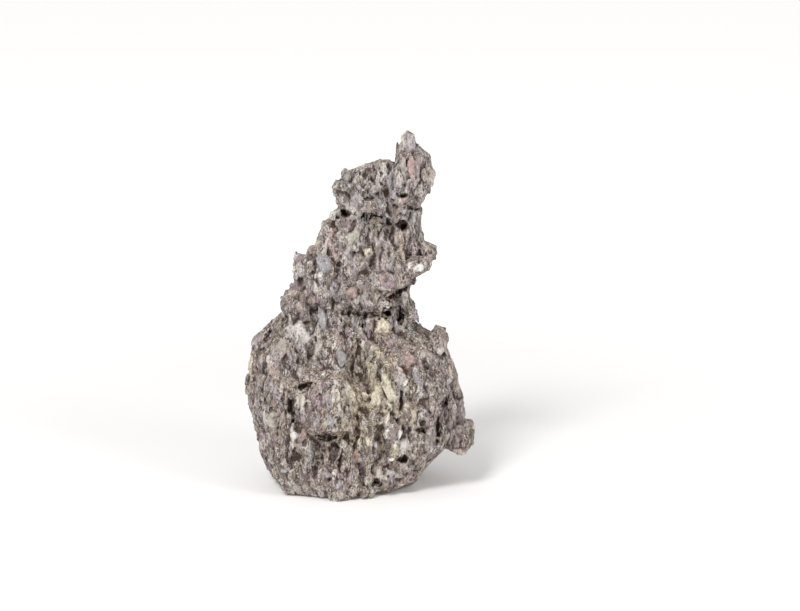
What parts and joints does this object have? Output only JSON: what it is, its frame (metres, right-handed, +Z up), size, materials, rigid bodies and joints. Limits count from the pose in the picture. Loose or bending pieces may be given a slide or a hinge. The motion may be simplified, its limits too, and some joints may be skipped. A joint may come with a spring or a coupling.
{
  "type": "viewing stone",
  "caption": "Mountain-shaped viewing stone of weathered conglomerate with upright clasts, an undercut head and a sawn flat base.",
  "frame": {"origin": "on the surface the stone stands on, under the middle of its bounding box", "axes": "+Z up, -Y towards the side it is shown from, +X to the right in that view"},
  "size_m": [0.1434, 0.1022, 0.2209],
  "materials": {
    "stone": "matt weathered conglomerate, warm grey with mauve, cream and green clasts and dark pits"
  },
  "bodies": {
    "root": {"stone": "stone"}
  },
  "joints": []
}
